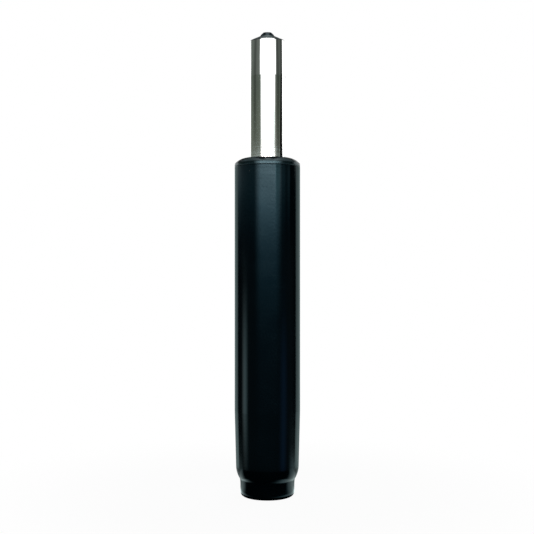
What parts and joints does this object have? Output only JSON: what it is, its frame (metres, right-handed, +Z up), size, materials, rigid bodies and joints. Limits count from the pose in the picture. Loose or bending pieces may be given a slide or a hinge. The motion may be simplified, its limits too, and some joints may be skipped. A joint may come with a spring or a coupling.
{
  "type": "chair gas lift cylinder",
  "caption": "Pneumatic height cylinder for a swivel chair: a bright tapered gas spring slides and turns in a black tapered column and is released by a button on its top.",
  "frame": {"origin": "centre of the rolled foot, on the surface it stands on", "axes": "+Z up along the column towards the release button, +X through the mouth of the retaining clip"},
  "size_m": [0.05, 0.05, 0.3535],
  "materials": {
    "column_paint": "gloss black",
    "bush_plastic": "moulded black",
    "bright_tube": "polished",
    "dark_button": "blackened",
    "zinc_plate": "zinc plated",
    "ground_steel": "ground",
    "brass": "turned",
    "seal_rubber": "matt",
    "glide_nylon": "natural"
  },
  "bodies": {
    "column": {"column_tube": "column_paint", "base_cup": "zinc_plate", "lower_race": "ground_steel", "guide_bush": "bush_plastic"},
    "cage": {"ball_cage": "brass", "bearing_balls": "ground_steel"},
    "rod": {"upper_race": "ground_steel", "buffer_cup": "zinc_plate", "rubber_buffer": "seal_rubber", "retaining_washer": "zinc_plate", "retaining_clip": "zinc_plate", "piston_rod": "ground_steel", "piston": "ground_steel", "piston_o_ring": "seal_rubber", "piston_glide_ring": "glide_nylon", "piston_washer": "zinc_plate"},
    "gas_cylinder": {"pressure_tube": "bright_tube", "end_washer": "zinc_plate", "rod_guide": "brass", "rod_seal": "seal_rubber", "seal_washer": "ground_steel", "inner_tube": "ground_steel", "valve_body": "brass", "valve_o_rings": "seal_rubber", "stem_o_rings": "seal_rubber", "button_bush": "bush_plastic"},
    "release_pin": {"valve_stem": "ground_steel", "release_button": "dark_button"}
  },
  "joints": [
    {"name": "swivel", "type": "hinge", "parent": "column", "child": "rod", "pos_m": [0, 0, 0.01375], "axis": [0, 0, 1], "continuous": true},
    {"name": "cage_turn", "type": "hinge", "parent": "column", "child": "cage", "pos_m": [0, 0, 0.01375], "axis": [0, 0, 1], "continuous": true},
    {"name": "height_slide", "type": "slide", "parent": "rod", "child": "gas_cylinder", "axis": [0, 0, 1], "range_m": [-0.06, 0]},
    {"name": "button_press", "type": "slide", "parent": "gas_cylinder", "child": "release_pin", "axis": [0, 0, 1], "range_m": [-0.0012, 0], "stiffness_N_per_m": 2000}
  ],
  "couplings": [
    {"joint": "cage_turn", "follows": "swivel", "ratio": 0.5}
  ]
}
